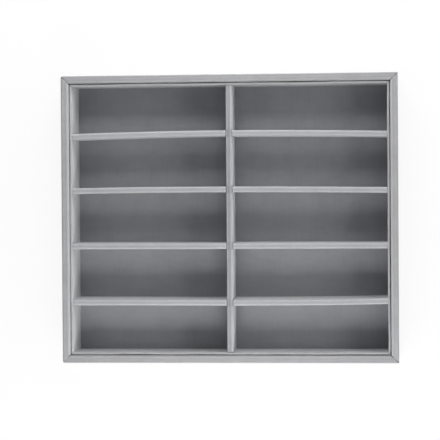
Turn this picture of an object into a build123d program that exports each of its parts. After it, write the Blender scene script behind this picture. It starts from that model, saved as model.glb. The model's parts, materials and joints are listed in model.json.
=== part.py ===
from build123d import *
import os

# Sunglasses display box: an open tray of four velvet-wrapped rails on a base board, and in it
# a lined insert that lifts out, with one long centre divider and four long cross dividers
# that halve into each other and leave two columns of five compartments.
# Millimetres. X runs along the long side, +Y to the back, +Z up. The origin is the centre of
# the underside, so the tray stands on z = 0.

# Outside of the tray
outer_length = 380.0
outer_width = 325.0
outer_height = 55.0

# Tray frame
rail_thickness = 6.6
rail_velvet = 0.8
rail_edge_radius = 1.3
board_thickness = 3.2
hem_width = 8.0
cover_gap = 0.5

# Nails under the hems and brads across the mitred corners
nail_shank = 1.4
nail_length = 15.0
nail_head = 3.0
nail_head_height = 0.8
nail_fit = 0.05
nail_end_distance = 30.0
long_rail_nail_count = 5
short_rail_nail_count = 4
brad_diameter = 1.2
brad_length = 16.0
brad_edge_distance = 14.0

# Lined insert
insert_gap = 1.3
seat_clearance = 0.3
floor_card = 2.5
floor_velvet = 1.2
liner_card = 1.4
liner_velvet = 0.5
liner_drop = 3.1

# Dividers
divider_core = 5.1
divider_velvet = 0.7
divider_edge_radius = 1.5
cross_divider_pitch = 64.2
cross_divider_count = 4
slot_clearance = 0.2
end_clearance = 0.2

# Levels and widths worked out from the sizes above
rim_width = rail_thickness + 2 * rail_velvet
board_top = rail_velvet + board_thickness
rail_top = outer_height - rail_velvet
floor_card_bottom = board_top + seat_clearance
floor_card_top = floor_card_bottom + floor_card
floor_top = floor_card_top + floor_velvet
liner_top = outer_height - liner_drop
liner_thickness = liner_card + 2 * liner_velvet
insert_length = outer_length - 2 * (rim_width + insert_gap)
insert_width = outer_width - 2 * (rim_width + insert_gap)
inside_length = insert_length - 2 * liner_thickness
inside_width = insert_width - 2 * liner_thickness
divider_thickness = divider_core + 2 * divider_velvet
lap_level = (floor_top + liner_top) / 2

os.makedirs("parts", exist_ok=True)


def save(name, shape):
    shape.label = name
    export_step(shape, "parts/" + name + ".step")


def slab(length, width, bottom, top):
    return Pos(0, 0, (bottom + top) / 2) * Box(length, width, top - bottom)


def strip_section(near, far, bottom, top, middle=0.0):
    """A rectangle across a strip that runs along X, from y = near to y = far about middle."""
    centre = Pos(middle + (near + far) / 2, (bottom + top) / 2)
    return Plane.YZ * centre * Rectangle(far - near, top - bottom)


def round_top(section, radius):
    return fillet(section.vertices().group_by(Axis.Z)[-1], radius)


def mitred(section, run, reach):
    """The section run along X with 45 degree ends. Its outer face lies at y = -reach."""
    depth = section.bounding_box().max.Y + reach
    plan = Polygon(
        (-run / 2, -reach),
        (run / 2, -reach),
        (run / 2 - depth, -reach + depth),
        (-run / 2 + depth, -reach + depth),
        align=None,
    )
    blank = extrude(section, amount=run / 2, both=True)
    return blank & extrude(plan, amount=outer_height)


def four_sides(make_section, length, width):
    """Front, right, back and left strips of a mitred ring of that outer length and width."""
    sides = {}
    for turn, side in enumerate(("front", "right", "back", "left")):
        run, reach = (length, width / 2) if turn % 2 == 0 else (width, length / 2)
        sides[side] = Rot(0, 0, 90 * turn) * mitred(make_section(reach), run, reach)
    return sides


# Sections, each with the outer face of its ring at y = -reach


def rail_section(reach):
    return strip_section(rail_velvet, rail_velvet + rail_thickness, board_top, rail_top, -reach)


def rail_wrap_section(reach):
    """Velvet down the inside of the rail, over it, down the outside and turned in below."""
    wrap = round_top(strip_section(0, rim_width, 0, outer_height, -reach), rail_edge_radius)
    wrap -= rail_section(reach)
    wrap -= strip_section(rail_velvet, rim_width, rail_velvet, board_top, -reach)
    wrap -= strip_section(hem_width, rim_width, 0, rail_velvet, -reach)
    return wrap


def liner_card_section(reach):
    near = liner_velvet
    return strip_section(near, near + liner_card, floor_card_top, liner_top - liner_velvet, -reach)


def liner_wrap_section(reach):
    wrap = strip_section(0, liner_thickness, floor_card_top, liner_top, -reach)
    return wrap - liner_card_section(reach)


# Nails and brads


def spread(count, span):
    """Places for count items, evenly over span and centred on zero."""
    return [span * (i / (count - 1) - 0.5) for i in range(count)]


def nail_places():
    line = rail_velvet + rail_thickness / 2
    places = []
    for x in spread(long_rail_nail_count, outer_length - 2 * nail_end_distance):
        places += [(x, outer_width / 2 - line), (x, line - outer_width / 2)]
    for y in spread(short_rail_nail_count, outer_width - 2 * nail_end_distance):
        places += [(outer_length / 2 - line, y), (line - outer_length / 2, y)]
    return places


def pin(diameter, length, fit):
    """A round pin that stands on the origin, or its hole with a fit all round and at the top."""
    upright = (Align.CENTER, Align.CENTER, Align.MIN)
    return Cylinder(diameter / 2 + fit, length + fit, align=upright)


def nail(fit):
    """A nail that points up from the underside of the base board, or its hole."""
    shank = pin(nail_shank, nail_length, fit)
    return Pos(0, 0, rail_velvet) * (shank + pin(nail_head, nail_head_height, fit))


def brad(fit):
    """A brad along +X that starts at the outer face of a short rail, or its hole."""
    return Rot(0, 90, 0) * pin(brad_diameter, brad_length, fit)


def brad_places():
    line = outer_width / 2 - rail_velvet - rail_thickness / 2
    start = outer_length / 2 - rail_velvet
    levels = (board_top + brad_edge_distance, rail_top - brad_edge_distance)
    return [
        Pos(side * start, end * line, level) * Rot(0, 0, 0 if side < 0 else 180)
        for side in (-1, 1)
        for end in (-1, 1)
        for level in levels
    ]


nails = [Pos(x, y, 0) * nail(0) for x, y in nail_places()]
nail_holes = [Pos(x, y, 0) * nail(nail_fit) for x, y in nail_places()]
brads = [place * brad(0) for place in brad_places()]
brad_holes = [place * brad(nail_fit) for place in brad_places()]


# Tray frame
for side, rail in four_sides(rail_section, outer_length, outer_width).items():
    save("rail_" + side, rail - nail_holes - brad_holes)
for side, wrap in four_sides(rail_wrap_section, outer_length, outer_width).items():
    save("rail_velvet_" + side, wrap)
board = slab(outer_length - 2 * rail_velvet, outer_width - 2 * rail_velvet, rail_velvet, board_top)
save("base_board", board - nail_holes)
cover_inset = hem_width + cover_gap
cover = slab(outer_length - 2 * cover_inset, outer_width - 2 * cover_inset, 0, rail_velvet)
save("underside_cover", cover)
save("base_nails", Compound(children=nails))
save("corner_brads", Compound(children=brads))

# Lined insert
save("floor_card", slab(insert_length, insert_width, floor_card_bottom, floor_card_top))
save("floor_velvet", slab(inside_length, inside_width, floor_card_top, floor_top))
for side, card in four_sides(liner_card_section, insert_length, insert_width).items():
    save("liner_card_" + side, card)
for side, wrap in four_sides(liner_wrap_section, insert_length, insert_width).items():
    save("liner_velvet_" + side, wrap)


# Dividers


def divider_parts(run):
    """Core and velvet sleeve of a divider along X. The sleeve is open below."""
    half = divider_thickness / 2
    core_half = divider_core / 2
    core_profile = strip_section(-core_half, core_half, floor_top, liner_top - divider_velvet)
    profile = round_top(strip_section(-half, half, floor_top, liner_top), divider_edge_radius)
    core = extrude(core_profile, amount=run / 2, both=True)
    return core, extrude(profile - core_profile, amount=run / 2, both=True)


def slot(bottom, top):
    width = divider_thickness + 2 * slot_clearance
    return slab(width, width, bottom, top)


cross_lines = spread(cross_divider_count, cross_divider_pitch * (cross_divider_count - 1))

centre_slots = [Pos(y, 0, 0) * slot(0, lap_level + slot_clearance) for y in cross_lines]
core, sleeve = divider_parts(inside_width - 2 * end_clearance)
save("centre_divider_core", Rot(0, 0, 90) * (core - centre_slots))
save("centre_divider_velvet", Rot(0, 0, 90) * (sleeve - centre_slots))

cross_slot = slot(lap_level - slot_clearance, outer_height)
core, sleeve = divider_parts(inside_length - 2 * end_clearance)
core -= cross_slot
sleeve -= cross_slot
for number, y in enumerate(cross_lines, start=1):
    save("cross_divider_core_" + str(number), Pos(0, y, 0) * core)
    save("cross_divider_velvet_" + str(number), Pos(0, y, 0) * sleeve)

print("compartment", (inside_length - divider_thickness) / 2, "by", cross_divider_pitch - divider_thickness)
print("end compartment depth", (inside_width - divider_thickness - cross_lines[-1] * 2) / 2)
print("compartment height", liner_top - floor_top)
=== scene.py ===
import json
import math

import bpy
import numpy as np
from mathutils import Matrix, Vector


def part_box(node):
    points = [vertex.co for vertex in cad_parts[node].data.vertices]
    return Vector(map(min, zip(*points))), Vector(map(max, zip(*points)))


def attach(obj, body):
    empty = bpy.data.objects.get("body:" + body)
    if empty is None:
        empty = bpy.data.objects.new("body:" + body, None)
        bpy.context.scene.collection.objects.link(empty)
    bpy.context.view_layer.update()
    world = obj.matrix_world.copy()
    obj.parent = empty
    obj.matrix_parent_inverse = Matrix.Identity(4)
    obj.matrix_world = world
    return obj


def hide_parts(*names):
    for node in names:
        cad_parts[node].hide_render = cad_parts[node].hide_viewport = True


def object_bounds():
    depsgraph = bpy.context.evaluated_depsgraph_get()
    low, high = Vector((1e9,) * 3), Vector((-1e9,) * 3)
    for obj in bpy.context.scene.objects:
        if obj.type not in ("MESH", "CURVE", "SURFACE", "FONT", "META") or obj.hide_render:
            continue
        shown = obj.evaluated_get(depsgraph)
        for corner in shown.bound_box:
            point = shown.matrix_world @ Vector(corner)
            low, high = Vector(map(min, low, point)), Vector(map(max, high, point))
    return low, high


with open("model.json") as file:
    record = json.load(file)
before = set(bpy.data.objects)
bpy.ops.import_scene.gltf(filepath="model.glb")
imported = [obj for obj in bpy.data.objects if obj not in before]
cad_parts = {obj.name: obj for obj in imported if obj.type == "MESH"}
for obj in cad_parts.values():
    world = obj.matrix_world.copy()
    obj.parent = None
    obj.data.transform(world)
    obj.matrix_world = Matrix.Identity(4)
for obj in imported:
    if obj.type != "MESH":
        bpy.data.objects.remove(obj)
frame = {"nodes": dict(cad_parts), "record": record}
cad_low, cad_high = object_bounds()

# Looks of the sunglasses display box: a velvet-covered tray and the lined insert that lifts out
# of it. Metres, with X along the long side, +Y to the back and +Z up, as in the CAD.

MM = 0.001


# Sizes read from the frame


def low_corner(node):
    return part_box(node)[0]


def high_corner(node):
    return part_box(node)[1]


def middle_y(node):
    return (low_corner(node).y + high_corner(node).y) / 2


half_length = cad_high.x
half_width = cad_high.y
rim_top = cad_high.z
rim_low, rim_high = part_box("rail_velvet_front")
rim_width = rim_high.y - rim_low.y
rail_velvet = low_corner("rail_front").y - rim_low.y
board_top = high_corner("base_board").z
# Clearance between the backing cloth and the hems round it, as in the CAD
HEM_GAP = 0.5 * MM
hem_width = half_length - high_corner("underside_cover").x - HEM_GAP

card_high = high_corner("floor_card")
insert_half_length = card_high.x
insert_half_width = card_high.y
card_top = card_high.z
floor_high = high_corner("floor_velvet")
floor_top = floor_high.z
liner_low, liner_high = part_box("liner_velvet_front")
liner_thickness = liner_high.y - liner_low.y
liner_velvet = low_corner("liner_card_front").y - liner_low.y
liner_top = liner_high.z

cross_low, cross_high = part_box("cross_divider_velvet_1")
core_low, core_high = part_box("cross_divider_core_1")
divider_thickness = cross_high.y - cross_low.y
core_thickness = core_high.y - core_low.y
divider_velvet = (divider_thickness - core_thickness) / 2
cross_half = cross_high.x
centre_half = high_corner("centre_divider_velvet").y
lap_level = (floor_top + liner_top) / 2
CROSS_DIVIDER_COUNT = 4
cross_lines = [middle_y("cross_divider_velvet_%d" % n) for n in range(1, CROSS_DIVIDER_COUNT + 1)]


# Ripples, humps and fades

RIPPLE_WAVES = 14
# Least and greatest wave number in a ripple, as shares of that of its size
RIPPLE_SPREAD = (0.6, 1.6)
RIPPLE_GAIN = 0.8


def ripple(places, size, seed, stretch=1):
    """Smooth noise between -1 and 1 at the given coordinates, with bumps about size metres wide.
    A stretch above 1 packs them closer along its axis."""
    random = np.random.default_rng(seed)
    points = np.stack(places, axis=-1) * stretch
    total = np.zeros(points.shape[:-1])
    for _ in range(RIPPLE_WAVES):
        direction = random.normal(size=points.shape[-1])
        direction *= random.uniform(*RIPPLE_SPREAD) * math.pi / size / np.linalg.norm(direction)
        total += np.sin(points @ direction + random.uniform(0, 2 * math.pi))
    return np.tanh(total * RIPPLE_GAIN / math.sqrt(RIPPLE_WAVES / 2))


def hump(distance, width):
    """1 at distance 0, falling smoothly to 0 over about width."""
    return np.exp(-((distance / width) ** 2))


def mark(value, strength, place, spread):
    """A hump of that strength where the value is near place."""
    return strength * hump(value - place, spread)


def smooth_step(value):
    """0 up to 0, 1 from 1 on and a smooth rise between them."""
    value = np.clip(value, 0, 1)
    return value * value * (3 - 2 * value)


def fade(value, start, width):
    """0 up to start, then a smooth rise to 1 over width."""
    return smooth_step((value - start) / width)


def towards(value, end, before, width):
    """A fade to 1 that starts at the distance before in front of end."""
    return fade(value, end - before, width)


def nearest(value, lines):
    """Distance from each value to the nearest of the lines."""
    return np.min([np.abs(value - at) for at in lines], axis=0)


# Meshes

SHARP_ANGLE = 50


def loft(name, rings, **shades):
    """A closed tube of rings, shape (rings, points, 3), with a flat cap at each end.
    Each shade is a value for every point, which the material reads by its name."""
    count, around = rings.shape[:2]
    index = np.arange(count * around).reshape(count, around)
    near, far = index[:-1], index[1:]
    corners = [near, np.roll(near, -1, axis=1), np.roll(far, -1, axis=1), far]
    faces = np.stack(corners, axis=-1).reshape(-1, 4).tolist()
    faces += [index[0, ::-1].tolist(), index[-1].tolist()]
    return closed_mesh(name, rings, faces, shades)


def closed_mesh(name, places, faces, shades):
    mesh = bpy.data.meshes.new(name)
    mesh.from_pydata(places.reshape(-1, 3).tolist(), [], faces)
    mesh.polygons.foreach_set("use_smooth", [True] * len(mesh.polygons))
    mesh.set_sharp_from_angle(angle=math.radians(SHARP_ANGLE))
    for shade, values in shades.items():
        attribute = mesh.attributes.new(shade, "FLOAT", "POINT")
        attribute.data.foreach_set("value", values.reshape(-1).astype(np.float32))
    face_outwards(mesh)
    piece = bpy.data.objects.new(name, mesh)
    bpy.context.scene.collection.objects.link(piece)
    return piece


def face_outwards(mesh):
    """Turns every face over if the closed mesh is inside out."""
    mesh.calc_loop_triangles()
    corners = np.empty(len(mesh.loop_triangles) * 3, np.int32)
    mesh.loop_triangles.foreach_get("vertices", corners)
    places = np.empty(len(mesh.vertices) * 3, np.float32)
    mesh.vertices.foreach_get("co", places)
    a, b, c = places.reshape(-1, 3)[corners.reshape(-1, 3)].transpose(1, 0, 2)
    if np.einsum("ij,ij->i", a, np.cross(b, c)).sum() < 0:
        mesh.flip_normals()


def arc(centre, radius, start, end, steps):
    """Points on an arc in the section plane, angles in degrees."""
    angles = np.radians(np.linspace(start, end, steps + 1))
    return [(centre[0] + radius * math.cos(a), centre[1] + radius * math.sin(a)) for a in angles]


def line(start, end, steps):
    """Points from start up to but without end."""
    return [tuple(np.array(start) + (np.array(end) - start) * i / steps) for i in range(steps)]


# Materials


class Nodes:
    """Builds one node material. Its noises lie in the object's own metres."""

    def __init__(self, name):
        self.material = bpy.data.materials.new(name)
        self.material.use_nodes = True
        self.tree = self.material.node_tree
        self.shader = self.tree.nodes["Principled BSDF"]
        self.place = self.add("ShaderNodeTexCoord").outputs["Object"]

    def add(self, kind, **values):
        """A new node with the given values for its inputs or settings."""
        node = self.tree.nodes.new(kind)
        for key, value in values.items():
            if key in node.inputs:
                node.inputs[key].default_value = value
            else:
                setattr(node, key, value)
        return node

    def link(self, source, target):
        self.tree.links.new(source, target)

    def noise(self, scale, detail=2.0, rough=0.5, stretch=None):
        """Noise that a stretch below 1 draws out along its axis."""
        place = self.place
        if stretch:
            mapping = self.add("ShaderNodeMapping", Scale=stretch)
            self.link(place, mapping.inputs["Vector"])
            place = mapping.outputs["Vector"]
        node = self.add("ShaderNodeTexNoise", Scale=scale, Detail=detail, Roughness=rough)
        self.link(place, node.inputs["Vector"])
        return node.outputs["Fac"]

    def shade(self, name):
        """A value that the mesh carries at its points."""
        return self.add("ShaderNodeAttribute", attribute_name=name).outputs["Fac"]

    def spread(self, value, low, high, to_low, to_high):
        """The range low to high spread over to_low to to_high, and held at both ends."""
        limits = {"From Min": low, "From Max": high, "To Min": to_low, "To Max": to_high}
        node = self.add("ShaderNodeMapRange", **limits)
        self.link(value, node.inputs["Value"])
        return node.outputs["Result"]

    def maths(self, operation, a, b):
        node = self.add("ShaderNodeMath", operation=operation)
        for socket, value in zip(node.inputs, (a, b)):
            if isinstance(value, (int, float)):
                socket.default_value = value
            else:
                self.link(value, socket)
        return node.outputs[0]

    def weighted(self, *parts):
        """The sum of (value, weight) pairs."""
        total = None
        for value, weight in parts:
            part = self.maths("MULTIPLY", value, weight)
            total = part if total is None else self.maths("ADD", total, part)
        return total

    def blend(self, amount, first, second):
        node = self.add("ShaderNodeMix", data_type="RGBA")
        self.link(amount, node.inputs["Factor"])
        for socket, colour in ((node.inputs["A"], first), (node.inputs["B"], second)):
            if isinstance(colour, tuple):
                socket.default_value = (*colour, 1)
            else:
                self.link(colour, socket)
        return node.outputs["Result"]

    def surface(self, colour, **finish):
        """Links the colour and sets the shader's inputs, named with _ for each space."""
        self.link(colour, self.shader.inputs["Base Color"])
        for key, value in finish.items():
            self.shader.inputs[key.replace("_", " ")].default_value = value

    def bump(self, *heights):
        """Adds the bumps together. Each is (height, strength, distance)."""
        normal = None
        for height, strength, distance in heights:
            node = self.add("ShaderNodeBump", Strength=strength, Distance=distance)
            self.link(height, node.inputs["Height"])
            if normal is not None:
                self.link(normal, node.inputs["Normal"])
            normal = node.outputs["Normal"]
        self.link(normal, self.shader.inputs["Normal"])


VELVET_DARK = (0.345, 0.350, 0.366)
VELVET_LIGHT = (0.409, 0.413, 0.430)
# The velvet on the rim is a little less blue; the bluer velvet of the insert is a painted tint of
# its shade
RIM_DARK = (0.349, 0.349, 0.359)
RIM_LIGHT = (0.413, 0.413, 0.423)
# Colours of the painted highlight on bends, edges and lit faces, and of the painted shade
VELVET_PAINTED_HIGHLIGHT = (0.56, 0.56, 0.565)
VELVET_PAINTED_SHADE = (0.12, 0.124, 0.136)
VELVET_SHEEN = 0.6


def velvet():
    """Short grey pile: brushed patches, a fine grain, painted highlights and painted shade."""
    n = Nodes("grey_velvet")
    patches = n.noise(scale=38, detail=3.0, rough=0.6)
    streaks = n.noise(scale=160, stretch=(0.35, 1.0, 1.0))
    brushed = n.noise(scale=420, stretch=(1.0, 0.06, 0.3))
    grain = n.noise(scale=1700)
    pile = n.noise(scale=4200, detail=1.0)
    tone = n.weighted((patches, 0.42), (streaks, 0.18), (grain, 0.22), (brushed, 0.18))
    # The rim's velvet is less blue than the insert's, whose blue is a painted tint of its shade
    on_rim = n.shade("rim")
    dark = n.blend(on_rim, VELVET_DARK, RIM_DARK)
    light = n.blend(on_rim, VELVET_LIGHT, RIM_LIGHT)
    colour = n.blend(n.spread(tone, 0.36, 0.64, 0, 1), dark, light)
    # Painted highlight, then painted shade, from the values that the mesh carries
    colour = n.blend(n.shade("edge"), colour, VELVET_PAINTED_HIGHLIGHT)
    colour = n.blend(n.shade("crease"), colour, VELVET_PAINTED_SHADE)
    n.surface(
        colour,
        Roughness=0.92,
        Specular_IOR_Level=0.12,
        Sheen_Weight=VELVET_SHEEN,
        Sheen_Roughness=0.35,
    )
    n.bump((patches, 0.25, 0.6 * MM), (grain, 0.35, 0.25 * MM), (pile, 0.3, 0.12 * MM))
    return n.material


BOARD_DARK = (0.30, 0.20, 0.115)
BOARD_LIGHT = (0.44, 0.31, 0.19)
BOARD_SPECK = (0.17, 0.11, 0.065)
BOARD_CLOUD = (0.36, 0.27, 0.18)


def fibreboard():
    """Pressed brown fibres with dark specks and faint clouds."""
    n = Nodes("fibreboard")
    fibres = n.noise(scale=900, detail=3.0, rough=0.7, stretch=(0.25, 1.0, 0.6))
    specks = n.noise(scale=2600, detail=1.0)
    clouds = n.noise(scale=24)
    colour = n.blend(n.spread(fibres, 0.35, 0.65, 0, 1), BOARD_DARK, BOARD_LIGHT)
    colour = n.blend(n.spread(specks, 0.60, 0.72, 0, 0.7), colour, BOARD_SPECK)
    colour = n.blend(n.spread(clouds, 0.35, 0.7, 0, 0.3), colour, BOARD_CLOUD)
    n.surface(colour, Roughness=0.78)
    n.bump((fibres, 0.4, 0.15 * MM), (specks, 0.3, 0.08 * MM))
    return n.material


CARD_DARK = (0.27, 0.255, 0.235)
CARD_LIGHT = (0.39, 0.375, 0.345)
CARD_LAYER = (0.22, 0.21, 0.195)


def greyboard():
    """Recycled grey card: flecks, and thin layers that show on its cut edges."""
    n = Nodes("greyboard")
    flecks = n.noise(scale=1300, detail=3.0, rough=0.7)
    layers = n.noise(scale=700, detail=1.0, stretch=(0.1, 0.1, 1.0))
    colour = n.blend(n.spread(flecks, 0.38, 0.62, 0, 1), CARD_DARK, CARD_LIGHT)
    colour = n.blend(n.spread(layers, 0.4, 0.7, 0, 0.35), colour, CARD_LAYER)
    n.surface(colour, Roughness=0.85)
    n.bump((flecks, 0.3, 0.1 * MM))
    return n.material


CLOTH_DARK = (0.022, 0.022, 0.025)
CLOTH_LIGHT = (0.062, 0.062, 0.068)
CLOTH_SLUB = (0.085, 0.085, 0.09)
CLOTH_THREADS = 480.0


def backing_cloth():
    """Plain woven cloth: two crossed sets of threads."""
    n = Nodes("dark_backing_cloth")
    across, along = (
        n.add("ShaderNodeTexWave", Scale=CLOTH_THREADS, Distortion=0.6, bands_direction=axis)
        for axis in ("X", "Y")
    )
    for wave in (across, along):
        n.link(n.place, wave.inputs["Vector"])
    weave = n.maths("MULTIPLY", across.outputs["Fac"], along.outputs["Fac"])
    slubs = n.noise(scale=220, stretch=(0.2, 1.0, 1.0))
    colour = n.blend(n.spread(weave, 0.1, 0.8, 0, 1), CLOTH_DARK, CLOTH_LIGHT)
    colour = n.blend(n.spread(slubs, 0.5, 0.75, 0, 0.5), colour, CLOTH_SLUB)
    n.surface(colour, Roughness=0.88, Sheen_Weight=0.1)
    n.bump((weave, 0.5, 0.2 * MM))
    return n.material


WIRE_DARK = (0.42, 0.42, 0.43)
WIRE_LIGHT = (0.66, 0.66, 0.67)


def steel_wire():
    """Bright wire, drawn along its length."""
    n = Nodes("bright_steel_wire")
    drawn = n.noise(scale=1200, stretch=(1.0, 1.0, 0.05))
    n.surface(n.blend(drawn, WIRE_DARK, WIRE_LIGHT), Metallic=1.0)
    n.link(n.spread(drawn, 0.3, 0.7, 0.28, 0.5), n.shader.inputs["Roughness"])
    return n.material


materials = {
    "grey_velvet": velvet(),
    "greyboard": greyboard(),
    "fibreboard": fibreboard(),
    "dark_backing_cloth": backing_cloth(),
    "bright_steel_wire": steel_wire(),
}
for part in frame["record"]["subparts"]:
    node = frame["nodes"][part["node"]]
    for place in node.material_slots:
        place.material = materials[part["material_slot"]]


def finish_piece(piece, body, slot, node):
    """Gives a piece its material and says what it rides on and which CAD node it replaces."""
    piece.data.materials.append(materials[slot])
    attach(piece, body)
    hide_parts(node)


# Velvet in general

# Heights of its broad and its fine waves, and of the fine ones where it lies loose
BROAD_WAVE = 0.05 * MM
FINE_WAVE = 0.03 * MM
LOOSE_WAVE = 0.06 * MM
# A point this near to a face moves with it, and one within the second distance takes its shade
ON_FACE = 0.3 * MM
SHADED_FACE = 0.5 * MM
# Share of the painted shade colour on flat tops, which darkens them
TOP_SHADE = 0.13
# A painted sheen makes the left wall, the back of the cross dividers and the right of the
# centre one lighter, least so near their tops
PAINTED_SHEEN = 0.5
LEAST_SHEEN = 0.2


def sheen_towards_foot(z, least):
    """The painted sheen grows from least at a wall's top to full at its foot."""
    return least + (1 - least) * smooth_step((liner_top - z) / (liner_top - card_top))


# Mitred strips

RUN_STEP = 2.2 * MM
FINE_RUN = 6 * MM
FINE_STEP = 0.4 * MM
SEAM_WIDTH = 0.8 * MM
# Depth below the top down to which both faces at the gap round the insert have closer points
FINE_DEPTH = 12 * MM


def run_places(half):
    """Places from -half to half along a strip, closer together at both ends."""
    middle = half - FINE_RUN
    steps = max(2, round(2 * middle / RUN_STEP))
    fine = round(FINE_RUN / FINE_STEP)
    left = np.linspace(-half, -middle, fine + 1)[:-1]
    right = np.linspace(middle, half, fine + 1)[1:]
    return np.concatenate([left, np.linspace(-middle, middle, steps + 1), right])


def turn(points, quarter):
    """Points (..., 3) turned by quarter right angles about Z."""
    c, s = round(math.cos(quarter * math.pi / 2)), round(math.sin(quarter * math.pi / 2))
    x, y, z = np.moveaxis(points, -1, 0)
    return np.stack([c * x - s * y, s * x + c * y, z], axis=-1)


def mitred_strip(section, run, reach, shape):
    """Rings along X of a section of (inward, z) points, whose ends lie on the 45 degree mitres.
    shape(inward, z, along, to_mitre) gives the moves (inward, z) of each point."""
    section = np.array(section)
    s, r = np.meshgrid(run_places(run / 2) / (run / 2), section[:, 0], indexing="ij")
    z = np.broadcast_to(section[:, 1], s.shape)
    x = s * (run / 2 - r)
    move_in, move_up = shape(r, z, x, (run / 2 - r) - np.abs(x))
    return np.stack([x, -reach + r + move_in, z + move_up], axis=-1)


def strip_places(rings, run, reach):
    """Inward, z, along and to_mitre of each point of a mitred strip, after its moves."""
    along, inward, z = rings[..., 0], rings[..., 1] + reach, rings[..., 2]
    return inward, z, along, run / 2 - inward - np.abs(along)


def four_sides(half_x, half_y):
    """Quarter turn, name, run and reach of the front, right, back and left strips of a ring."""
    for quarter, side in enumerate(("front", "right", "back", "left")):
        run, reach = (2 * half_x, half_y) if quarter % 2 == 0 else (2 * half_y, half_x)
        yield quarter, side, run, reach


# Rim: velvet over the outer rails

RIM_SEED = 1
RIM_FINE_SEED = 51
RIM_LINE_SEED = 400
RIM_WAVE_SIZE = 30 * MM
RIM_FINE_SIZE = 7 * MM
# Waves change faster across the rim and slower up its faces than along it
RIM_WAVE_STRETCH = (1, 2, 0.5)
RIM_EDGE_RADIUS = 1.6 * MM
# Radius of each outer corner in plan, by the signs of its x and y
RIM_CORNER_RADII = {
    (-1, 1): 2.6 * MM,
    (-1, -1): 2.4 * MM,
    (1, 1): 1.1 * MM,
    (1, -1): 1.2 * MM,
}
HEM_TURN_RADIUS = 0.6 * MM
# How far the rim's flat top dips in general, in its grooves, at the mitres and beside them
TOP_DIP = 0.16 * MM
GROOVE_DIP = 0.12 * MM
MITRE_DIP = 0.2 * MM
PUCKER_DIP = 0.12 * MM
PUCKER_SPREAD = 5 * MM
# How far the outer faces lie inside the CAD, how much further at the mitres, and from what
# height up. No face moves at the table.
FACE_INSET = 0.1 * MM
FACE_MITRE_INSET = 0.1 * MM
FACE_FOOT = 1 * MM
TABLE_FADE = 2 * MM
# The full part of the inner face: size, depth below the top and spread. It starts at the top,
# where it fades in over a short depth.
RIM_BULGE = (0.4 * MM, 5 * MM, 5 * MM)
RIM_BULGE_FADE = 2.5 * MM
# Fades towards the top and the edges: how far before the end they start, and their width
RIM_TOP_FADE = (2 * MM, 2 * MM)
GLOW_TOP_FADE = (2.2 * MM, 1.6 * MM)
GLOW_FACE_FADE = (9 * MM, 8 * MM)
TOP_SHADE_FADE = (1.2 * MM, 1 * MM)
INNER_EDGE_FADE = (2.1 * MM, 1.1 * MM)
OUTER_EDGE_FADE = (1.8 * MM, 1.4 * MM)
# Lines along the rim's top: strength, place as a share of its width, and half width
GROOVES = ((0.6, 0.35, 0.8 * MM), (0.4, 0.62, 0.8 * MM))
# The dark lines are painted shade along the rim's top
DARK_LINES = ((1.0, 0.22, 0.7 * MM), (1.0, 0.62, 0.8 * MM))
DARK_LINE_SHADE = 0.12
DARK_LINE_DRIFT = 0.35 * MM
DARK_LINE_DRIFT_SIZE = 60 * MM
# Less painted shade on the tops of the short sides
SHORT_SIDE_TOP_SHADE = 0.3 * TOP_SHADE
# Painted highlight on each side's outer edge, none on the left, which faces away from the
# strongest light, and on the inner edge and down the inner face
OUTER_GLOW = {"front": 0.3, "right": 0.35, "back": 0.3, "left": 0.0}
INNER_GLOW = 0.3
# The dark fold at a mitre, partly parted pile and partly painted shade, and the strength
# of its outer and its inner mark on the front left, front right, back right and back left
MITRE_SHADE = 0.2
MITRE_WIDTH = 1.1 * MM
MITRE_DEPTH = 2.5 * MM
MITRE_MARKS = ((0.2, 0.7), (0.8, 0.8), (0.7, 0.7), (0.8, 0.4))
# Place and spread of the two marks, as shares of the rim's width
OUTER_MARK = (0.24, 0.24)
INNER_MARK = (0.9, 0.2)


def rim_section():
    """Round the rail, from the hem's edge up the outside and down the inside, and back."""
    r, t, w, h = RIM_EDGE_RADIUS, rail_velvet, rim_width, HEM_TURN_RADIUS
    top, inner, fine_end = rim_top - r, w - t, rim_top - FINE_DEPTH
    points = line((hem_width, 0), (h, 0), steps=5)
    points += arc((h, h), h, 270, 180, steps=4)
    points += line((0, h + 3 * MM), (0, top), steps=18)
    points += arc((r, top), r, 180, 90, steps=7)[:-1]
    points += line((r, rim_top), (w - r, rim_top), steps=10)
    points += arc((w - r, top), r, 90, 0, steps=7)
    points += line((w, top - 1 * MM), (w, fine_end), steps=10)
    points += line((w, fine_end), (w, board_top), steps=6)
    points += [(w, board_top), (inner, board_top)]
    points += line((inner, board_top + 3 * MM), (inner, rim_top - t), steps=8)
    points += line((inner, rim_top - t), (t, rim_top - t), steps=5)
    points += line((t, rim_top - t), (t, t), steps=10)
    points += line((t, t), (hem_width, t), steps=4)
    points += [(hem_width, t)]
    return points


def rim_lines(r, lines):
    """Humps along the rim's top at the given lines."""
    return sum(mark(r, strength, share * rim_width, width) for strength, share, width in lines)


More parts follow.
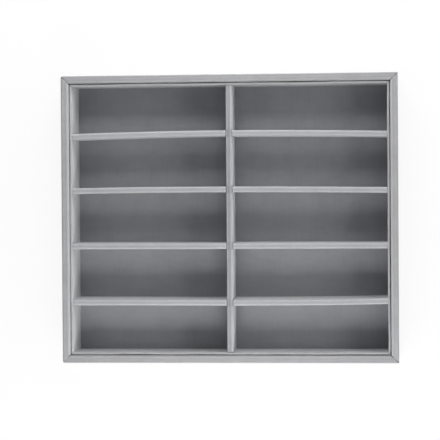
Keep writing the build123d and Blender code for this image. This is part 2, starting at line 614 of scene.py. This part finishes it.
def rim_shape(quarter):
    """Moves of the velvet on a rail: a grooved top, puckered mitres and full inner faces."""

    def shape(r, z, x, to_mitre):
        wave = ripple((x, r, z), RIM_WAVE_SIZE, RIM_SEED + quarter, RIM_WAVE_STRETCH)
        small = ripple((x, r, z), RIM_FINE_SIZE, RIM_FINE_SEED + quarter, RIM_WAVE_STRETCH)
        uneven = BROAD_WAVE * wave + FINE_WAVE * small
        seam = hump(to_mitre, SEAM_WIDTH)
        pucker = hump(to_mitre, PUCKER_SPREAD) * (1 + small) / 2
        dip = TOP_DIP + uneven + GROOVE_DIP * rim_lines(r, GROOVES)
        dip += MITRE_DIP * seam + PUCKER_DIP * pucker
        on_top = towards(z, rim_top, *RIM_TOP_FADE)
        outer_face = (r < ON_FACE) & (z > FACE_FOOT)
        inset = (FACE_INSET + uneven + FACE_MITRE_INSET * seam) * (1 - on_top)
        inner_face = r > rim_width - ON_FACE
        bulge = mark(rim_top - z, *RIM_BULGE) * fade(rim_top - z, 0, RIM_BULGE_FADE)
        inward = outer_face * inset + inner_face * (bulge + LOOSE_WAVE * small)
        return inward * fade(z, 0, TABLE_FADE), -on_top * dip

    return shape


def round_corners(points, half_x, half_y, radii):
    """Rounds the outer vertical corners in plan. radii holds (x sign, y sign): radius."""
    points = points.copy()
    for (sx, sy), radius in radii.items():
        px = radius - (half_x - sx * points[..., 0])
        py = radius - (half_y - sy * points[..., 1])
        near = (px > 0) & (py > 0)
        length = np.where(near, np.hypot(px, py), 1.0)
        squeeze = np.maximum(px, py) / length
        points[..., 0] = np.where(near, sx * (half_x - radius + px * squeeze), points[..., 0])
        points[..., 1] = np.where(near, sy * (half_y - radius + py * squeeze), points[..., 1])
    return points


def rim_highlight(r, z, side):
    """Painted highlight over the rim's edges and down its inner face."""
    top = towards(z, rim_top, *GLOW_TOP_FADE)
    inner = INNER_GLOW * towards(r, rim_width, *INNER_EDGE_FADE)
    outer = OUTER_GLOW[side] * towards(-r, 0, *OUTER_EDGE_FADE)
    return np.maximum(top * (inner + outer), inner * towards(z, rim_top, *GLOW_FACE_FADE))


def rim_top_shade(r, z, x, quarter):
    """Painted shade on the rim's top, darker along two lines that drift a little."""
    drift = DARK_LINE_DRIFT * ripple((x,), DARK_LINE_DRIFT_SIZE, RIM_LINE_SEED + quarter)
    flat = SHORT_SIDE_TOP_SHADE if quarter % 2 else TOP_SHADE
    shade = flat + DARK_LINE_SHADE * rim_lines(r - drift, DARK_LINES)
    return shade * towards(z, rim_top, *TOP_SHADE_FADE)


def mitre_crease(r, z, x, to_mitre, quarter):
    """Mitre line of parted pile and painted shade, with darker marks near its outer and inner
    end.
    """
    at_left, at_right = MITRE_MARKS[quarter], MITRE_MARKS[(quarter + 1) % 4]
    shade = MITRE_SHADE
    for left, right, (share, spread) in zip(at_left, at_right, (OUTER_MARK, INNER_MARK)):
        strength = np.where(x < 0, left, right)
        shade = shade + mark(r, strength, share * rim_width, spread * rim_width)
    return hump(to_mitre, MITRE_WIDTH) * shade * (z > rim_top - MITRE_DEPTH)


for quarter, side, run, reach in four_sides(half_length, half_width):
    rings = mitred_strip(rim_section(), run, reach, rim_shape(quarter))
    inward, z, along, to_mitre = strip_places(rings, run, reach)
    # Painted highlight on the edges, and painted shade in the mitre folds and on the top
    painted_highlight = rim_highlight(inward, z, side)
    fold = mitre_crease(inward, z, along, to_mitre, quarter)
    crease = np.maximum(fold, rim_top_shade(inward, z, along, quarter))
    rings = round_corners(turn(rings, quarter), half_length, half_width, RIM_CORNER_RADII)
    piece = loft("rim_velvet_" + side, rings, edge=painted_highlight, crease=crease, rim=np.ones_like(painted_highlight))
    finish_piece(piece, "tray", "grey_velvet", "rail_velvet_" + side)


# Liner walls

LINER_SEED = 10
LINER_FINE_SEED = 30
LINER_WAVE_SIZE = 55 * MM
LINER_FINE_SIZE = 9 * MM
# Waves change slower up the walls than along them
LINER_WAVE_STRETCH = (1, 0.6)
LINER_FINE_STRETCH = (1, 0.8)
LINER_FACE_WAVE = 0.05 * MM
LINER_EDGE_RADIUS = 0.9 * MM
# How far the top of a wall leans, and over what distance from each corner that fades in
LINER_LEAN = 0.25 * MM
LINER_LEAN_FADE = 12 * MM
# The full part of the outer face: size, depth below the top and spread. It fades in from the
# mitres.
LINER_BULGE = (0.3 * MM, 4 * MM, 5 * MM)
LINER_BULGE_FADE = 3 * MM
# Both faces start this far below the top
LINER_FACE_DEPTH = 1 * MM
# How far the top of the velvet and of its card lie inside the CAD, and the velvet's mitres
LINER_TOP_DIP = 0.1 * MM
LINER_MITRE_DIP = 0.12 * MM
CARD_DIP_HEIGHT = 40 * MM
# How far the velvet stands off the wall at its foot, where it is turned under the floor
LINER_COVE = {"front": 0.8 * MM, "right": 0.0, "back": 0.0, "left": 1.3 * MM}
# Painted highlight on the top, painted sheen on the inner face and painted shade down it
LINER_TOP_GLOW = {"front": 0.3, "right": 0.0, "back": 0.35, "left": 0.2}
LINER_SHEEN = {"front": 0.0, "right": 0.0, "back": 0.0, "left": PAINTED_SHEEN}
LINER_SHADE = {"front": 0.0, "right": 0.0, "back": 0.45, "left": 0.0}
# Fades towards the top: how far below it they start, and their width. The shade's fade runs
# down from below the top.
LINER_TOP_FADE = (1.2 * MM, 1.2 * MM)
LINER_GLOW_FADE = (1.8 * MM, 1.3 * MM)
LINER_SHADE_FADE = (1 * MM, 8 * MM)
# Painted shade line at a mitre: strength, place and half width
LINER_MITRE_SHADE = (0.35, 0, 0.6 * MM)


def liner_section():
    """Round the card, up the outside, over the top, down the inside and back."""
    r, t, w = LINER_EDGE_RADIUS, liner_velvet, liner_thickness
    top, low, fine_end = liner_top, card_top, liner_top - FINE_DEPTH
    points = line((0, low), (0, fine_end), steps=6)
    points += line((0, fine_end), (0, top - r), steps=9)
    points += arc((r, top - r), r, 180, 90, steps=5)
    points += arc((w - r, top - r), r, 90, 0, steps=5)
    points += line((w, top - r - 1.5 * MM), (w, low), steps=20)
    points += [(w, low), (w - t, low)]
    points += line((w - t, low + 2 * MM), (w - t, top - t), steps=6)
    points += [(w - t, top - t), (t, top - t)]
    points += line((t, top - t - 2 * MM), (t, low), steps=6)
    points += [(t, low)]
    return points


def board_section(near, far, low, top, high_steps, wide_steps):
    """A rectangle with points along its sides, so that it can bend."""
    points = line((near, low), (near, top), high_steps)
    points += line((near, top), (far, top), wide_steps)
    points += line((far, top), (far, low), high_steps)
    points += line((far, low), (near, low), wide_steps)
    return points


def liner_lean(x, z, half, quarter):
    """Inward lean of a liner wall: still at the corners and at its foot, wavy along the top."""
    wave = ripple((x, z), LINER_WAVE_SIZE, LINER_SEED + quarter, LINER_WAVE_STRETCH)
    free = fade(z, card_top, liner_top - card_top)
    return LINER_LEAN * wave * free * fade(half - np.abs(x), 0, LINER_LEAN_FADE)


def liner_card_shape(half, quarter):
    """Moves of the card in a liner wall."""

    def shape(r, z, x, to_mitre):
        lean = liner_lean(x, z, half, quarter)
        return lean, -LINER_TOP_DIP * fade(z, card_top, CARD_DIP_HEIGHT)

    return shape


def liner_shape(half, quarter, cove):
    """Moves of the velvet on a liner wall: full near its top and off the wall at its foot."""

    def shape(r, z, x, to_mitre):
        small = ripple((x, z), LINER_FINE_SIZE, LINER_FINE_SEED + quarter, LINER_FINE_STRETCH)
        on_top = towards(z, liner_top, *LINER_TOP_FADE)
        dip = LINER_TOP_DIP + LINER_MITRE_DIP * hump(to_mitre, SEAM_WIDTH) - LOOSE_WAVE * small
        below = z < liner_top - LINER_FACE_DEPTH
        inner_face = (r > liner_thickness - ON_FACE) & below
        outer_face = (r < ON_FACE) & below
        bulge = mark(liner_top - z, *LINER_BULGE) * fade(to_mitre, 0, LINER_BULGE_FADE)
        foot = cove * fade(liner_top - z, 0, liner_top - floor_top)
        inward = inner_face * (LINER_FACE_WAVE * small + foot) - outer_face * bulge
        return liner_lean(x, z, half, quarter) + inward, -on_top * dip

    return shape


def liner_shades(rings, run, reach, side):
    """Painted highlight, painted sheen and painted shade of the velvet on a liner wall."""
    inward, z, _, to_mitre = strip_places(rings, run, reach)
    inner_face = inward > liner_thickness - SHADED_FACE
    top = LINER_TOP_GLOW[side] * towards(z, liner_top, *LINER_GLOW_FADE)
    painted_highlight = np.maximum(top, LINER_SHEEN[side] * inner_face * sheen_towards_foot(z, LEAST_SHEEN))
    shade = LINER_SHADE[side] * inner_face * fade(liner_top - z, *LINER_SHADE_FADE)
    return painted_highlight, np.maximum(mark(to_mitre, *LINER_MITRE_SHADE), shade)


liner_card_section = board_section(
    liner_velvet,
    liner_thickness - liner_velvet,
    card_top,
    liner_top - liner_velvet,
    high_steps=8,
    wide_steps=2,
)
for quarter, side, run, reach in four_sides(insert_half_length, insert_half_width):
    shape = liner_shape(run / 2, quarter, LINER_COVE[side])
    rings = mitred_strip(liner_section(), run, reach, shape)
    painted_highlight, crease = liner_shades(rings, run, reach, side)
    piece = loft("liner_wrap_" + side, turn(rings, quarter), edge=painted_highlight, crease=crease)
    finish_piece(piece, "insert", "grey_velvet", "liner_velvet_" + side)
    rings = mitred_strip(liner_card_section, run, reach, liner_card_shape(run / 2, quarter))
    piece = loft("liner_board_" + side, turn(rings, quarter))
    finish_piece(piece, "insert", "greyboard", "liner_card_" + side)


# Dividers

DIVIDER_FINE_SEED = 70
CROSS_SEED = 100
CENTRE_SEED = 200
DIVIDER_WAVE_SIZE = 34 * MM
DIVIDER_FINE_SIZE = 6 * MM
# Waves change faster across a divider and slower up its faces than along it
DIVIDER_WAVE_STRETCH = (1, 1.5, 0.6)
# Share of the waves that is left at the foot
FOOT_WAVE = 0.4
DIVIDER_EDGE_RADIUS = 1.8 * MM
SLOT_CLEARANCE = 0.2 * MM
SLOT_LIP = 1.6 * MM
# Points along a divider: parts of half a slot and of its lip, size and number of the steps
# beside it, the reach in which they replace the even places, and how far inside a slot the
# sleeve's wall begins
SLOT_PARTS = 3
LIP_PARTS = 7
BESIDE_STEP = 1 * MM
BESIDE_STEPS = 10
BESIDE_REACH = 12 * MM
SLOT_WALL = 0.05 * MM
# A slot from below pushes up only what lies under this depth of the sleeve's top
KEPT_TOP = 5 * MM
# How far the top waves finely and dips, and the dip at both ends: size, place and spread
DIVIDER_TOP_WAVE = 0.04 * MM
DIVIDER_DIP = 0.1 * MM
DIVIDER_END_DIP = (0.3 * MM, 0, 1.2 * MM)
# Fades towards the top of shape and of shade, and of shade towards both faces: how far before
# the end they start, and their width
DIVIDER_TOP_FADE = (2.2 * MM, 1.8 * MM)
DIVIDER_SHADE_FADE = (2.4 * MM, 1.8 * MM)
DIVIDER_EDGE_FADE = (2.3 * MM, 1.4 * MM)
# How far the velvet swells beside a slot from above, and is squeezed at one from below
SLOT_SWELL = 0.25 * MM
SLOT_SWELL_SPREAD = 4 * MM
SLOT_SQUEEZE = 0.35 * MM
SLOT_SQUEEZE_SPREAD = 2.5 * MM
SLOT_UNEVEN = 0.1 * MM

# How far each cross divider stands off its line, plus to the back, at four even places from
# left to right
CROSS_BOWS = {
    1: (2.2 * MM, 1.9 * MM, 1.8 * MM, 3.3 * MM),
    2: (1.7 * MM, 1.4 * MM, 1.3 * MM, 1.2 * MM),
    3: (0.1 * MM, 1.0 * MM, 0.5 * MM, -0.9 * MM),
    4: (-2.7 * MM, -0.3 * MM, -0.3 * MM, -2.3 * MM),
}
# How far the velvet stands off the back face of each cross divider at its foot
CROSS_COVES = {1: 1.3 * MM, 2: 0.7 * MM, 3: 0.3 * MM, 4: 0.0}
# Painted highlight on the top and along the rounded edges
CROSS_TOP_GLOW = 0.12
CROSS_EDGE_GLOW = 0.4
# Strength, distance from the slot and spread of the painted highlight on the lips and of the
# painted shade in the slots, which starts a little below the top
CROSS_LIP_GLOW = (0.3, 1 * MM, 1.2 * MM)
CROSS_SLOT_SHADE = (0.8, 0, 0.5 * MM)
CROSS_SLOT_SHADE_DEPTH = 0.9 * MM

# How far the centre divider stands off its line, plus to the left, from front to back
CENTRE_BOW = (-0.5 * MM, -0.6 * MM, -0.5 * MM, -0.5 * MM)
# Painted highlight on the right and left edges, painted sheen on the right face and painted shade
# on the top
CENTRE_RIGHT_GLOW = 0.4
CENTRE_LEFT_GLOW = 0.1
CENTRE_SHEEN = 0.65
CENTRE_LEAST_SHEEN = 0.44
CENTRE_TOP_SHADE = 0.34
# Painted shade at the crossings: strength, and spread inside and beside the slot
CROSSING_SHADE = 0.34
CROSSING_SHADE_INSIDE = 30 * MM
CROSSING_SHADE_BESIDE = 0.9 * MM
# Strength, place and spread of a painted streak in the crossings, and of painted shade at the
# ends
CENTRE_STREAK = (0.3, 0.6 * MM, 0.7 * MM)
CENTRE_END_SHADE = (0.5, 0, 0.7 * MM)

divider_half = divider_thickness / 2
slot_half = divider_half + SLOT_CLEARANCE


def sleeve_section():
    """Round the core, up one face, over the top, down the other and back. It is open below."""
    half, r, t = divider_half, DIVIDER_EDGE_RADIUS, divider_velvet
    low, top = floor_top, liner_top
    points = line((-half, low), (-half, top - r), steps=18)
    points += arc((-half + r, top - r), r, 180, 90, steps=7)[:-1]
    points += line((-half + r, top), (half - r, top), steps=5)
    points += arc((half - r, top - r), r, 90, 0, steps=7)
    points += line((half, top - r - 2 * MM), (half, low), steps=16)
    points += [(half, low), (half - t, low)]
    points += line((half - t, low + 3 * MM), (half - t, top - t), steps=6)
    points += [(half - t, top - t), (0, top - t), (t - half, top - t)]
    points += line((t - half, top - t - 3 * MM), (t - half, low), steps=6)
    points += [(t - half, low)]
    return points


def bow_line(x, half, bow):
    """A smooth curve through offsets at even places from -half to half."""
    places = np.linspace(-1, 1, len(bow))
    return np.polyval(np.polyfit(places, bow, len(bow) - 1), np.asarray(x) / half)


class Divider:
    """A card core along X in a velvet sleeve, slotted where it meets the other dividers.
    Each kind says how it is slotted, how its velvet moves at the slots and how it is shaded."""

    def __init__(self, half, crossings, bow, seed):
        self.half = half
        self.crossings = crossings
        self.bow = bow
        self.seed = seed

    def places(self):
        """Places along the divider, closer together beside the crossings and at the ends."""
        places = list(run_places(self.half))
        steps = [slot_half * i / SLOT_PARTS for i in range(1, SLOT_PARTS)]
        steps += [slot_half - SLOT_WALL]
        steps += [slot_half + SLOT_LIP * i / LIP_PARTS for i in range(LIP_PARTS + 1)]
        steps += [slot_half + SLOT_LIP + BESIDE_STEP * i for i in range(1, BESIDE_STEPS + 1)]
        for crossing in self.crossings:
            places = [p for p in places if abs(p - crossing) > slot_half + BESIDE_REACH]
            places += [crossing + side * step for side in (-1, 1) for step in steps]
            places += [crossing]
        return np.array(sorted(places))

    def gap(self, x):
        """Distance along the divider to the nearest slot, negative inside one."""
        return nearest(x, self.crossings) - slot_half

    def rings(self, section, soft):
        """The section all along the divider, slotted and bowed. Soft ones have velvet's waves."""
        section = np.array(section)
        x, a = np.meshgrid(self.places(), section[:, 0], indexing="ij")
        level = np.broadcast_to(section[:, 1], x.shape)
        near_top = towards(level, liner_top, *DIVIDER_TOP_FADE)
        y = a + bow_line(x, self.half, self.bow)
        z = self.slotted(level, self.gap(x), near_top)
        if soft:
            move_y, move_z = self.soften(x, a, z, height_share(level), near_top)
            y, z = y + move_y, z + move_z
        return np.stack([x, y, z], axis=-1)

    def soften(self, x, a, z, height, near_top):
        """Moves of the velvet across the divider and up."""
        wave = ripple((x, a, z), DIVIDER_WAVE_SIZE, self.seed, DIVIDER_WAVE_STRETCH)
        fine_seed = self.seed + DIVIDER_FINE_SEED
        small = ripple((x, a, z), DIVIDER_FINE_SIZE, fine_seed, DIVIDER_WAVE_STRETCH)
        face = np.sign(a) * (np.abs(a) > divider_half - ON_FACE)
        uneven = (BROAD_WAVE * wave + FINE_WAVE * small) * (FOOT_WAVE + (1 - FOOT_WAVE) * height)
        swell, drop = self.at_slots(np.maximum(self.gap(x), 0), small)
        drop = drop + mark(self.half - np.abs(x), *DIVIDER_END_DIP)
        move_y = face * (uneven + near_top * swell) + self.foot(face, height)
        move_z = BROAD_WAVE * wave + DIVIDER_TOP_WAVE * small - DIVIDER_DIP - drop
        return move_y, near_top * move_z

    def foot(self, face, height):
        """How far the velvet stands off at its foot."""
        return 0.0

    def shading(self, rings, section):
        """What the shades go by: across, z, gap, near_top and edges of each point."""
        across = np.broadcast_to(np.array(section)[:, 0], rings.shape[:2])
        z = rings[..., 2]
        near_top = towards(z, liner_top, *DIVIDER_SHADE_FADE)
        edges = towards(np.abs(across), divider_half, *DIVIDER_EDGE_FADE)
        return across, z, self.gap(rings[..., 0]), near_top, edges


class CrossDivider(Divider):
    """Slotted from above, with velvet that stands off by cove at the foot of its back face."""

    def __init__(self, half, crossings, bow, seed, cove):
        super().__init__(half, crossings, bow, seed)
        self.cove = cove

    def slotted(self, level, gap, near_top):
        """Presses a slot's part down below the lap, and rounds the lips beside it."""
        lip = np.clip(1 - gap / SLOT_LIP, 0, 1)
        drop = SLOT_LIP * (1 - np.sqrt(1 - lip**2)) * near_top
        pressed = floor_top + height_share(level) * (lap_level - SLOT_CLEARANCE - floor_top)
        return np.where(gap < 0, pressed, level - drop)

    def at_slots(self, beside, small):
        """The velvet swells where the centre divider pushes into it."""
        return hump(beside, SLOT_SWELL_SPREAD) * (SLOT_SWELL + SLOT_UNEVEN * small), 0.0

    def foot(self, face, height):
        return self.cove * (face > 0) * smooth_step(1 - height)

    def shades(self, rings, section):
        """Painted highlight on the edges, lips and back face; painted shade in the slots and on
        top.
        """
        across, z, gap, near_top, edges = self.shading(rings, section)
        slots = mark(gap, *CROSS_SLOT_SHADE) * (z < liner_top - CROSS_SLOT_SHADE_DEPTH)
        lips = mark(gap, *CROSS_LIP_GLOW) * near_top
        painted_sheen = PAINTED_SHEEN * (across > divider_half - SHADED_FACE) * sheen_towards_foot(z, LEAST_SHEEN)
        painted_highlight = np.maximum(near_top * (CROSS_TOP_GLOW + CROSS_EDGE_GLOW * edges), painted_sheen)
        return painted_highlight + lips, np.maximum(slots, TOP_SHADE * near_top * (1 - edges))


class CentreDivider(Divider):
    """Slotted from below. Across it, plus is to the left once it is turned into place."""

    def slotted(self, level, gap, near_top):
        """Pushes a slot's part up above the lap, and leaves the top as it is."""
        kept = liner_top - KEPT_TOP
        bottom = lap_level + SLOT_CLEARANCE
        pushed = bottom + (level - floor_top) / (kept - floor_top) * (kept - bottom)
        return np.where((gap < 0) & (level < kept), pushed, level)

    def at_slots(self, beside, small):
        """The velvet is squeezed narrower and lower between the cross dividers."""
        squeeze = hump(beside, SLOT_SQUEEZE_SPREAD) * (SLOT_SQUEEZE + SLOT_UNEVEN * small)
        return -squeeze, squeeze

    def shades(self, rings, section):
        """Painted sheen on the right face and highlights on edges; painted shade at crossings,
        ends, top.
        """
        across, z, gap, near_top, edges = self.shading(rings, section)
        squeezed = hump(np.minimum(gap, 0), CROSSING_SHADE_INSIDE)
        squeezed *= hump(np.maximum(gap, 0), CROSSING_SHADE_BESIDE)
        crease = (CROSSING_SHADE + mark(across, *CENTRE_STREAK)) * squeezed
        crease += mark(self.half - np.abs(rings[..., 0]), *CENTRE_END_SHADE)
        right_face = across < SHADED_FACE - divider_half
        painted_sheen = CENTRE_SHEEN * right_face * sheen_towards_foot(z, CENTRE_LEAST_SHEEN)
        edge_glow = np.where(across < 0, CENTRE_RIGHT_GLOW, CENTRE_LEFT_GLOW)
        painted_highlight = np.maximum(near_top * edge_glow * edges, painted_sheen)
        return painted_highlight, near_top * np.maximum(crease, CENTRE_TOP_SHADE * (1 - edges))


def height_share(level):
    """0 at the foot of a divider and 1 at its top."""
    return (level - floor_top) / (liner_top - floor_top)


divider_core_section = board_section(
    -core_thickness / 2,
    core_thickness / 2,
    floor_top,
    liner_top - divider_velvet,
    high_steps=4,
    wide_steps=3,
)


def build_divider(divider, label, suffix, place):
    """Sleeve and core of a divider. place moves rings along X to where they belong."""
    section = sleeve_section()
    rings = divider.rings(section, soft=True)
    painted_highlight, crease = divider.shades(rings, section)
    piece = loft(label + "_sleeve" + suffix, place(rings), edge=painted_highlight, crease=crease)
    finish_piece(piece, "insert", "grey_velvet", label + "_velvet" + suffix)
    rings = divider.rings(divider_core_section, soft=False)
    piece = loft(label + "_board" + suffix, place(rings))
    finish_piece(piece, "insert", "greyboard", label + "_core" + suffix)


def moved_by(offset):
    return lambda rings: rings + np.array([0, offset, 0])


bowed_lines = []
for number, offset in enumerate(cross_lines, start=1):
    bow = CROSS_BOWS[number]
    crossing = -bow_line(offset, centre_half, CENTRE_BOW)
    bowed_lines.append(offset + bow_line(crossing, cross_half, bow))
    divider = CrossDivider(cross_half, [crossing], bow, CROSS_SEED + number, CROSS_COVES[number])
    build_divider(divider, "cross_divider", "_%d" % number, moved_by(offset))
divider = CentreDivider(centre_half, bowed_lines, CENTRE_BOW, CENTRE_SEED)
build_divider(divider, "centre_divider", "", lambda rings: turn(rings, 1))


# Floor velvet

FLOOR_SEED = 300
FLOOR_FINE_SEED = 301
FLOOR_WAVE_SIZE = 45 * MM
FLOOR_FINE_SIZE = 12 * MM
FLOOR_STEP = 2.0 * MM
# Heights of its broad and fine waves, how low it lies, and how far it is tucked in at the walls
FLOOR_WAVE = 0.125 * MM
FLOOR_FINE_WAVE = 0.0375 * MM
FLOOR_DIP = 0.05 * MM
FLOOR_TUCK = 0.25 * MM
FLOOR_TUCK_SPREAD = 4.5 * MM
# Strength, place and spread of the painted shade at the left and the right end of each
# compartment
FLOOR_LEFT_SHADE = (0.2, 0, 13 * MM)
FLOOR_RIGHT_SHADE = (0.36, 0, 18 * MM)


def floor_height(x, y, half_x, half_y):
    """The floor's upper face: gently waved, and tucked in along the walls and dividers."""
    wave = ripple((x, y), FLOOR_WAVE_SIZE, FLOOR_SEED)
    small = ripple((x, y), FLOOR_FINE_SIZE, FLOOR_FINE_SEED)
    to_x = nearest(x, (-half_x, 0, half_x))
    to_y = nearest(y, (-half_y, *bowed_lines, half_y))
    tuck = hump(np.minimum(to_x, to_y), FLOOR_TUCK_SPREAD)
    rise = (FLOOR_WAVE * wave + FLOOR_FINE_WAVE * small) * (1 - tuck)
    return floor_top + rise - FLOOR_TUCK * tuck - FLOOR_DIP


def floor_shade(x, half_x):
    """Painted shade towards both ends of each compartment, next to the walls and the centre
    divider.
    """
    to_left = np.where(x < 0, x + half_x, x)
    to_right = np.where(x < 0, -x, half_x - x)
    return mark(to_left, *FLOOR_LEFT_SHADE) + mark(to_right, *FLOOR_RIGHT_SHADE)


def even_places(half):
    """Places from -half to half, about FLOOR_STEP apart."""
    return np.linspace(-half, half, round(2 * half / FLOOR_STEP) + 1)


def floor_mesh():
    half_x, half_y = floor_high.x, floor_high.y
    x, y = np.meshgrid(even_places(half_x), even_places(half_y), indexing="ij")
    top = np.stack([x, y, floor_height(x, y, half_x, half_y)], axis=-1)
    under = np.stack([x, y, np.full_like(x, card_top)], axis=-1)
    shade = floor_shade(x, half_x)
    index = np.arange(x.size).reshape(x.shape)
    corners = [index[:-1, :-1], index[1:, :-1], index[1:, 1:], index[:-1, 1:]]
    upper = np.stack(corners, axis=-1).reshape(-1, 4)
    lower = upper[:, ::-1] + x.size
    border = np.concatenate([index[:-1, 0], index[-1, :-1], index[:0:-1, -1], index[0, :0:-1]])
    after = np.roll(border, -1)
    walls = np.stack([after, border, border + x.size, after + x.size], axis=-1)
    faces = np.concatenate([upper, lower, walls]).tolist()
    shades = {"crease": np.stack([shade, shade])}
    return closed_mesh("floor_cloth", np.stack([top, under]), faces, shades)


floor_cloth = floor_mesh()
finish_piece(floor_cloth, "insert", "grey_velvet", "floor_velvet")


# Stage, lights and camera

STAGE_SIZE = 8
STAGE_DROP = 0.2 * MM
STAGE_COLOUR = (0.93, 0.93, 0.93, 1)
# Share of plain white that the camera sees in the stage, the rest being lit and shadowed
STAGE_WHITE = 0.9
AMBIENT = 0.03
# Soft lights round the tray: name, turn from +X and height in degrees, distance, size and power
STUDIO_LIGHTS = (
    ("right_light", 0, 28, 1.2, 0.85, 6.3),
    ("back_light", 90, 30, 0.66, 0.42, 3.8),
    ("left_light", 180, 42, 1.3, 0.85, 2.5),
    ("front_light", 270, 38, 0.66, 0.42, 3.8),
)
# The camera looks down from 2.1 m, a little to the right of the tray's middle
CAMERA_PLACE = (0.17728, 0.02738, 2.10383)
CAMERA_TILT = (-0.01399, 0.09102, -0.00563)
FOCAL_PIXELS = 1831.5
FRAME_PIXELS = 440
SENSOR_WIDTH = 36.0


def make_stage():
    """A pale floor that is white to the camera but keeps part of the shadow."""
    bpy.ops.mesh.primitive_plane_add(size=STAGE_SIZE, location=(0, 0, -STAGE_DROP))
    floor = bpy.context.object
    floor.name = "stage_floor"
    n = Nodes("stage_white")
    n.shader.inputs["Base Color"].default_value = STAGE_COLOUR
    n.shader.inputs["Roughness"].default_value = 1.0
    n.shader.inputs["Specular IOR Level"].default_value = 0.0
    white = n.add("ShaderNodeEmission", Strength=1.0)
    rays = n.add("ShaderNodeLightPath").outputs
    mirrored = n.maths("MAXIMUM", rays["Is Glossy Ray"], rays["Is Transmission Ray"])
    seen = n.maths("MAXIMUM", rays["Is Camera Ray"], mirrored)
    mix = n.add("ShaderNodeMixShader")
    n.link(n.maths("MULTIPLY", seen, STAGE_WHITE), mix.inputs[0])
    n.link(n.shader.outputs[0], mix.inputs[1])
    n.link(white.outputs[0], mix.inputs[2])
    n.link(mix.outputs[0], n.tree.nodes["Material Output"].inputs["Surface"])
    floor.data.materials.append(n.material)


def make_world():
    """Plain white to the camera, and a faint light on everything else."""
    world = bpy.data.worlds.new("studio")
    bpy.context.scene.world = world
    world.use_nodes = True
    tree = world.node_tree
    background = tree.nodes["Background"]
    background.inputs["Color"].default_value = (1, 1, 1, 1)
    rays = tree.nodes.new("ShaderNodeLightPath")
    strength = tree.nodes.new("ShaderNodeMapRange")
    strength.inputs["To Min"].default_value = AMBIENT
    strength.inputs["To Max"].default_value = 1.0
    tree.links.new(rays.outputs["Is Camera Ray"], strength.inputs["Value"])
    tree.links.new(strength.outputs["Result"], background.inputs["Strength"])


def area_light(name, across, height, distance, size, watts):
    """A square soft light that faces the middle of the tray."""
    data = bpy.data.lights.new(name, "AREA")
    data.shape = "SQUARE"
    data.size = size
    data.energy = watts
    lamp = bpy.data.objects.new(name, data)
    bpy.context.scene.collection.objects.link(lamp)
    across, height = math.radians(across), math.radians(height)
    reach = distance * math.cos(height)
    level = distance * math.sin(height)
    lamp.location = (reach * math.cos(across), reach * math.sin(across), level)
    lamp.rotation_euler = (math.pi / 2 - height, 0, across + math.pi / 2)


def make_camera():
    data = bpy.data.cameras.new("camera")
    data.sensor_width = SENSOR_WIDTH
    data.lens = FOCAL_PIXELS / FRAME_PIXELS * SENSOR_WIDTH
    camera = bpy.data.objects.new("camera", data)
    bpy.context.scene.collection.objects.link(camera)
    camera.location = CAMERA_PLACE
    camera.rotation_mode = "ZYX"
    camera.rotation_euler = CAMERA_TILT
    bpy.context.scene.camera = camera


make_stage()
make_world()
for light in STUDIO_LIGHTS:
    area_light(*light)
make_camera()
bpy.context.scene.view_settings.view_transform = "Standard"
